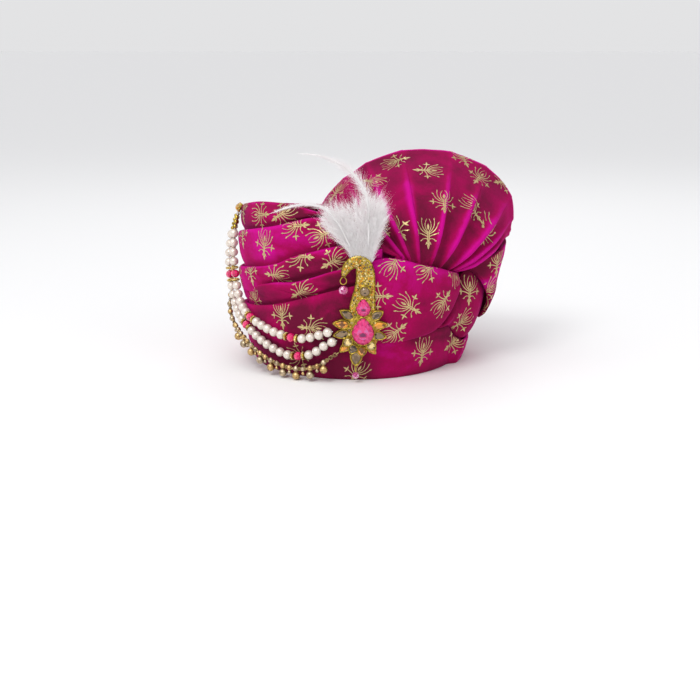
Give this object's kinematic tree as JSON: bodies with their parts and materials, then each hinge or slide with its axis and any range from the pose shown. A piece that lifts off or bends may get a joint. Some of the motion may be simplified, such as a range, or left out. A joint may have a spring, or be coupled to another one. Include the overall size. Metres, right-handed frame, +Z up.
{
  "type": "tied turban",
  "caption": "Ready-tied velvet turban: pleated wraps round an open domed form, a standing pleated fan, a hooked brooch with cut stones, a feather plume and hanging bead strings.",
  "frame": {"origin": "middle of the bounding box's base, on the plane that the bottom rim rests on", "axes": "+Z up, -Y towards the front with the brooch, +X towards the wearer's left, where the fan stands"},
  "size_m": [0.2874, 0.2676, 0.2104],
  "materials": {
    "magenta_velvet": "printed velvet",
    "crown_velvet": "plain velvet over a wound form",
    "brooch_gold": "polished plate",
    "pink_stone": "cut and polished",
    "smoky_stone": "cut and polished",
    "pearl": "pearl coating",
    "white_feather": "soft feather",
    "antique_gold": "darkened plate"
  },
  "bodies": {
    "root": {"crown_cap": "crown_velvet", "left_wrap_1": "magenta_velvet", "left_wrap_2": "magenta_velvet", "left_wrap_3": "magenta_velvet", "left_wrap_4": "magenta_velvet", "left_wrap_5": "magenta_velvet", "front_wrap": "magenta_velvet", "lower_wrap": "magenta_velvet", "side_panel": "magenta_velvet", "side_fold": "magenta_velvet", "fan": "magenta_velvet", "brooch_body": "brooch_gold", "brooch_teardrop_large": "pink_stone", "brooch_teardrop_small": "pink_stone", "brooch_round_stone": "smoky_stone", "hook_ring": "brooch_gold", "hook_bead": "pink_stone", "tip_wire": "brooch_gold", "tip_bead": "pink_stone", "plume_fluff": "white_feather", "feather_tall": "white_feather", "feather_side": "white_feather", "string_clasp": "antique_gold", "pearl_string_upper": "pearl", "pearl_string_lower": "pearl", "drop_chain": "antique_gold"}
  },
  "joints": []
}
